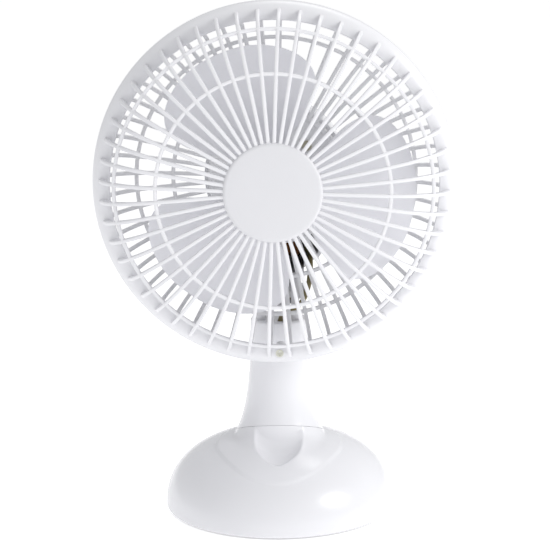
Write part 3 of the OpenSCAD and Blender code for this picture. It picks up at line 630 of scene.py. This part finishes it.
def makeMotorCover(look):
    bm = bmesh.new()
    rows = look["straightRows"] + look["roundRows"]
    bmesh.ops.create_grid(bm, x_segments=look["columns"], y_segments=rows, size=1)
    turnAt = look["back"] + look["round"]
    for vert in bm.verts:
        share = (vert.co.x + 1) / 2
        row = round((vert.co.y + 1) / 2 * rows)
        if row <= look["straightRows"]:
            shrink, d = 0, look["front"] + (turnAt - look["front"]) * row / look["straightRows"]
        else:
            turn = math.pi / 2 * (row - look["straightRows"]) / look["roundRows"]
            shrink = look["round"] * (1 - math.cos(turn)) * look["squash"]
            d = turnAt - look["round"] * math.sin(turn)
        x, y = eggPoint(look, share, shrink)
        vert.co = (x, y, d)
    bmesh.ops.remove_doubles(bm, verts=bm.verts, dist=0.001)
    backRim = [e for e in bm.edges if e.is_boundary and e.verts[0].co.z < look["back"] + 1]
    bmesh.ops.edgeloop_fill(bm, edges=backRim)
    bmesh.ops.recalc_face_normals(bm, faces=bm.faces)
    outwardFace = max(bm.faces, key=lambda face: face.calc_center_median().y)
    if outwardFace.normal.y < 0:
        bmesh.ops.reverse_faces(bm, faces=bm.faces)
    bmesh.ops.solidify(bm, geom=bm.faces[:], thickness=look["wall"])
    bmesh.ops.recalc_face_normals(bm, faces=bm.faces)
    slots = []
    for i in range(look["vents"]):
        for side in (-1, 1):
            width = look["ventTop"] - look["ventShort"] * i
            slot = slab(width, look["ventHigh"], look["ventHigh"] * 0.49, -3 * look["wall"], 3 * look["wall"])
            slots.append(placed(slot, Matrix.Translation((0, side * (look["ventFirst"] + i * look["ventPitch"]),
                                                          look["back"]))))
    seats = [placed(plug(look["screwSeat"], -3, 4), Matrix.Translation((side * look["bossX"], 0, look["back"])))
             for side in (-1, 1)]
    chinLow = look["chinZ"] - look["chinR"]
    notch = block(look["leadSize"], (look["leadX"], chinLow + look["leadUp"], look["front"]))
    bm = cutAway(bm, gather(*slots), gather(*seats), notch)
    aside = Matrix.Translation((look["bossX"], 0, 0))
    boss = ringBlank(look["bossR"], look["bossBore"], look["bossBack"], look["bossFront"], 48)
    bosses = mirroredX(placed(boss, aside))
    seatRing = ringBlank(look["seatR"], look["bossBore"], look["bossBack"] - 0.1, look["seatFront"], 48)
    seatRing = mirroredX(placed(seatRing, aside))
    lug = dShape(look["lugR"], look["lugReach"], look["lugWidth"], look["lugEdge"])
    lug = cutAway(lug, plug(look["lugBore"], -20, 20))
    placed(lug, Matrix.Translation((0, tiltZ - axisZ, rimY)) @ Matrix.Rotation(math.pi / 2, 4, "Y")
           @ Matrix.Rotation(math.pi, 4, "Z"))
    makePiece(gather(bm, bosses, seatRing, lug), "motorCover", "whitePlastic", "head", ["motor_cover"], onHead)
    print("motor cover made")


makeMotorCover(motorCover)


# Neck

neckForm = {
    "r": 15.6, "flare": 9, "flareZ": 45.3, "flareLong": 19.5, "top": 111, "wall": 2.4, "edge": 1.6,
    "seamZ": 44.5, "seamLean": 20.5, "gap": 0.12, "seamEdge": 0.12, "columns": 160, "rows": 54,
    "earIn": 7.5, "earOut": 12, "earR": 8.5, "boltR": 2.52, "leadAt": (1.4, -10.3), "leadR": 2.1,
}


def neckRadius(look, z):
    return look["r"] + look["flare"] * math.exp((look["flareZ"] - z) / look["flareLong"])


def seamPoint(look, turn):
    r = neckRadius(look, look["seamZ"])
    for _ in range(8):
        forward = max(0, -r * math.sin(turn))
        z = look["seamZ"] + forward * math.tan(math.radians(look["seamLean"]))
        r = neckRadius(look, z)
    return r, z


def makeNeck(look):
    bm = bmesh.new()
    rows, roofRows = look["rows"], 8
    bmesh.ops.create_grid(bm, x_segments=look["columns"], y_segments=rows + roofRows, size=1)
    for vert in bm.verts:
        turn = math.pi * (vert.co.x + 1)
        row = round((vert.co.y + 1) / 2 * (rows + roofRows))
        low = seamPoint(look, turn)[1] + look["gap"]
        if row < 0.5:
            z, r = low, neckRadius(look, low) - look["seamEdge"]
        elif row <= rows:
            foot = low + look["seamEdge"]
            z = foot + (look["top"] - look["edge"] - foot) * ((row - 1) / (rows - 1)) ** 1.15
            r = neckRadius(look, z)
        elif row < rows + roofRows - 0.5:
            bend = math.pi / 2 * (row - rows) / (roofRows - 1)
            z = look["top"] - look["edge"] * (1 - math.sin(bend))
            r = neckRadius(look, look["top"]) - look["edge"] * (1 - math.cos(bend))
        else:
            z, r = look["top"], 0
        vert.co = (r * math.cos(turn), r * math.sin(turn), z)
    bmesh.ops.remove_doubles(bm, verts=bm.verts, dist=0.001)
    bmesh.ops.recalc_face_normals(bm, faces=bm.faces)
    roof = max(bm.faces, key=lambda face: face.calc_center_median().z)
    if roof.normal.z < 0:
        bmesh.ops.reverse_faces(bm, faces=bm.faces)
    bmesh.ops.solidify(bm, geom=bm.faces[:], thickness=look["wall"])
    bmesh.ops.recalc_face_normals(bm, faces=bm.faces)
    x, y = look["leadAt"]
    bm = cutAway(bm, placed(plug(look["leadR"], look["top"] - 6, look["top"] + 3), Matrix.Translation((x, y, 0))))
    ear = dShape(look["earR"], tiltZ - look["top"] + 1, look["earOut"] - look["earIn"], 0.6)
    ear = cutAway(ear, plug(look["boltR"], -20, 20))
    stand = Matrix.Translation(((look["earIn"] + look["earOut"]) / 2, 0, tiltZ)) \
        @ Matrix.Rotation(math.pi / 2, 4, "Y") @ Matrix.Rotation(math.pi / 2, 4, "Z")
    ears = mirroredX(placed(ear, stand))
    makePiece(gather(bm, ears), "neck", "whitePlastic", "stand", ["neck"])
    print("neck made")


# Base

baseForm = {
    "r": 65.8, "low": 3, "height": 40.7, "side": 0.83, "crown": 0.91, "wall": 2.4, "columns": 288, "rows": 92,
    "lip": ((-0.02, 2.4), (-0.12, 1.9), (-0.45, 1.4), (-1.0, 1.05), (-1.8, 0.9)),
    "padRise": 0.85, "padEdge": 1.0, "padY": -10, "padR": 36, "padPoint": 9,
    "scoopHalf": 13.8, "scoopLong": 25, "scoopTip": 45, "scoopDeep": 9, "scoopShape": 0.62,
    "climbFrom": 25, "footSoft": 0.6, "frontSoft": 14, "seamEdge": 0.12,
}


def softMax(a, b, soft):
    near = max(0, soft - abs(a - b)) / soft
    return max(a, b) + near * near * soft / 4


def smoothStep(share):
    share = min(1, max(0, share))
    return share * share * (3 - 2 * share)


def padShare(look, x, y):
    ahead = math.degrees(math.atan2(x, look["padY"] - y))
    reach = look["padR"] + look["padPoint"] * max(0, math.cos(math.radians(ahead))) ** 4
    inside = reach - math.hypot(x, y - look["padY"])
    return smoothStep(0.5 + inside / look["padEdge"])


def scoopDepth(look, x, y):
    share = min(1, (look["scoopTip"] + y) / look["scoopLong"])
    if share <= 0 or y > 0:
        return 0
    half = look["scoopHalf"] * math.sin(math.pi / 2 * share ** look["scoopShape"])
    across = abs(x) / half
    if across >= 1:
        return 0
    return look["scoopDeep"] * share ** 0.8 * (1 - across * across)


def makeBase(look, neck):
    bm = bmesh.new()
    lipRows = len(look["lip"])
    rows = look["rows"]
    bmesh.ops.create_grid(bm, x_segments=look["columns"], y_segments=rows + lipRows, size=1)
    for vert in bm.verts:
        turn = math.pi * (vert.co.x + 1)
        row = round((vert.co.y + 1) / 2 * (rows + lipRows))
        seamR, seamZ = seamPoint(neck, turn)
        if row > rows:
            inset, z = look["lip"][row - rows - 1]
            r = look["r"] + inset
        elif row == 0:
            r, z = seamR - look["seamEdge"], seamZ
        else:
            first = math.asin((seamR / look["r"]) ** (1 / look["side"]))
            slope = first + (math.pi / 2 - first) * (row - 1) / (rows - 1)
            r = look["r"] * math.sin(slope) ** look["side"]
            z = look["low"] + look["height"] * max(0, math.cos(slope)) ** look["crown"]
            x, y = r * math.cos(turn), r * math.sin(turn)
            z += look["padRise"] * padShare(look, x, y)
            if r < neckRadius(neck, look["climbFrom"]):  # the foot of the neck, drawn up out of the dome
                climb = neck["flareZ"] - neck["flareLong"] * math.log((r - neck["r"]) / neck["flare"])
                z = softMax(z, climb, look["footSoft"] + look["frontSoft"] * max(0, -math.sin(turn)) ** 1.5)
            z -= scoopDepth(look, x, y)
            if row == 1:
                z = min(z, seamZ - look["seamEdge"])
        vert.co = (r * math.cos(turn), r * math.sin(turn), z)
    bmesh.ops.remove_doubles(bm, verts=bm.verts, dist=0.001)
    bmesh.ops.recalc_face_normals(bm, faces=bm.faces)
    crown = max(bm.faces, key=lambda face: face.calc_center_median().y)
    if crown.normal.y < 0:
        bmesh.ops.reverse_faces(bm, faces=bm.faces)
    bmesh.ops.solidify(bm, geom=bm.faces[:], thickness=look["wall"])
    bmesh.ops.recalc_face_normals(bm, faces=bm.faces)
    return bm


# Switch and cord inlet

switchForm = {
    "y": 57.6, "z": 25, "lean": 60, "bezel": (25, 17), "corner": 2, "low": 1.05, "high": 2.55,
    "rocker": (17.6, 10.6), "tip": 7, "pinZ": -1.5, "pinR": 1.2, "markX": 5.6,
}
inletForm = {"turn": 22, "z": 10, "holeR": 2.2}
atSwitch = Matrix.Translation((0, switchForm["y"], switchForm["z"])) \
    @ Matrix.Rotation(math.radians(-switchForm["lean"]), 4, "X")
atInlet = Matrix.Rotation(math.radians(inletForm["turn"]), 4, "Z") \
    @ Matrix.Translation((0, baseR, inletForm["z"])) @ Matrix.Rotation(-math.pi / 2, 4, "X")


def makeBaseShell(look, neck, switch):
    width, height = switch["bezel"]
    shell = makeBase(look, neck)
    opening = placed(slab(width - 3.8, height - 3.4, 0.6, -12, 12), atSwitch)
    inlet = placed(plug(3.7, -10, 10), atInlet)
    shell = cutAway(shell, opening, inlet)
    seat = soften(slab(width + 3, height + 3, 3, -3, 1), 0.6)
    seat = placed(cutAway(seat, slab(width - 3.8, height - 3.4, 0.6, -12, 12)), atSwitch)
    makePiece(gather(shell, seat), "baseShell", "whitePlastic", "stand", ["base_shell"], sharp=32)
    print("base made")


def rockerWell(look):
    long, across = look["rocker"]
    return slab(long + 1.8, across + 0.5, 0.4, -9.5, 6)


def makeSwitch(look):
    width, height = look["bezel"]
    bezel = soften(slab(width, height, look["corner"], look["low"], look["high"]), 0.45)
    body = slab(width - 4, height - 3.6, 0.5, -12, 1.6)
    long, across = look["rocker"]
    bezel = cutAway(bezel, rockerWell(look))
    pinBore = placed(plug(look["pinR"] + 0.05, -20, 20, 32),
                     Matrix.Translation((0, 0, look["pinZ"])) @ Matrix.Rotation(math.pi / 2, 4, "X"))
    body = cutAway(body, rockerWell(look), pinBore)
    makePiece(gather(bezel, body), "switchHousing", "blackPlastic", "stand", ["switch_housing"], atSwitch)
    bm = bmesh.new()
    half = long / 2
    outline = [(-half, 0.6), (-half, 4.6), (-half * 0.5, 3.55), (0, 3), (half * 0.5, 3.55), (half, 4.6),
               (half, 0.6), (3, -4), (-3, -4)]
    side = bm.faces.new([bm.verts.new((x, -across / 2, z)) for x, z in outline])
    pushed = bmesh.ops.extrude_face_region(bm, geom=[side])
    bmesh.ops.translate(bm, vec=(0, across, 0),
                        verts=[part for part in pushed["geom"] if isinstance(part, bmesh.types.BMVert)])
    bmesh.ops.recalc_face_normals(bm, faces=bm.faces)
    soften(bm, 0.45, over=50)
    pin = placed(plug(look["pinR"], -height / 2 + 2, height / 2 - 2, 32), Matrix.Rotation(math.pi / 2, 4, "X"))
    tilt = Matrix.Rotation(math.atan2(1.05, half * 0.5), 4, "Y")
    bar = placed(soften(block((0.9, 3.6, 0.5), (0, 0, 0)), 0.12),
                 Matrix.Translation((-look["markX"], 0, 3.83)) @ tilt)
    loop = placed(soften(ringBlank(1.7, 1.05, -0.2, 0.3, 40), 0.1),
                  Matrix.Translation((look["markX"], 0, 3.8)) @ tilt.inverted())
    rest = atSwitch @ Matrix.Translation((0, 0, look["pinZ"])) @ Matrix.Rotation(math.radians(-look["tip"]), 4, "Y")
    makePiece(gather(bm, pin), "rocker", "whitePlastic", "rocker", ["rocker_switch"], rest)
    makePiece(gather(bar, loop), "rockerMarks", "blackPlastic", "rocker", (), rest)
    print("switch made")


def makeInlet(look):
    hole = look["holeR"]
    profile = [(hole, -6.8), (5.0, -6.8), (5.2, -6.5), (5.2, -5.2), (5.0, -5), (3.6, -5), (3.6, 0), (5, 0),
               (5.2, 0.25), (5.2, 1), (4.6, 1.6), (3.9, 1.8), (hole + 0.5, 1.8), (hole, 1.4)]
    makePiece(lathe(profile, 64), "cordGrommet", "blackPlastic", "stand", ["cord_grommet"], atInlet)
    print("grommet made")


# Lead from the coil to the switch

leadForm = {
    "r": 1.5, "rings": 6,
    "route": ((15.6, 4.4, 149.6), (17.6, 1.8, 148.4), (18.4, -3.4, 144), (18.2, -8.4, 137), (16.6, -10.6, 128.5),
              (12.6, -10.9, 120.5), (7, -10.8, 116.4), (3, -10.5, 114.2), (1.4, -10.3, 111), (1.2, -10.1, 106.5),
              (0.8, -8, 99), (0, -3, 84), (0, 0, 66), (0, 2, 48), (0, 6, 32), (0, 16, 21), (2, 28, 18.4),
              (4, 36, 17.2), (5, 41.2, 15.6)),
}


def makeLead(look):
    data = bpy.data.curves.new("leadLine", "CURVE")
    data.dimensions = "3D"
    data.bevel_depth = look["r"] / metre
    data.bevel_resolution = look["rings"]
    data.use_fill_caps = True
    data.resolution_u = 8
    line = data.splines.new("BEZIER")
    line.bezier_points.add(len(look["route"]) - 1)
    for knot, place in zip(line.bezier_points, look["route"]):
        knot.co = Vector(place) / metre
        knot.handle_left_type = knot.handle_right_type = "AUTO"
    curve = bpy.data.objects.new("leadLine", data)
    bpy.context.scene.collection.objects.link(curve)
    mesh = bpy.data.meshes.new_from_object(curve.evaluated_get(bpy.context.evaluated_depsgraph_get()))
    bpy.data.objects.remove(curve)
    lead = bpy.data.objects.new("motorLead", mesh)
    bpy.context.scene.collection.objects.link(lead)
    mesh.name = "motorLead"
    mesh.materials.clear()
    mesh.materials.append(finish["leadSleeve"])
    mesh.shade_smooth()
    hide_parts("motor_lead")
    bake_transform(lead)
    print("lead made")


makeNeck(neckForm)
makeBaseShell(baseForm, neckForm, switchForm)
makeSwitch(switchForm)
makeInlet(inletForm)
makeLead(leadForm)
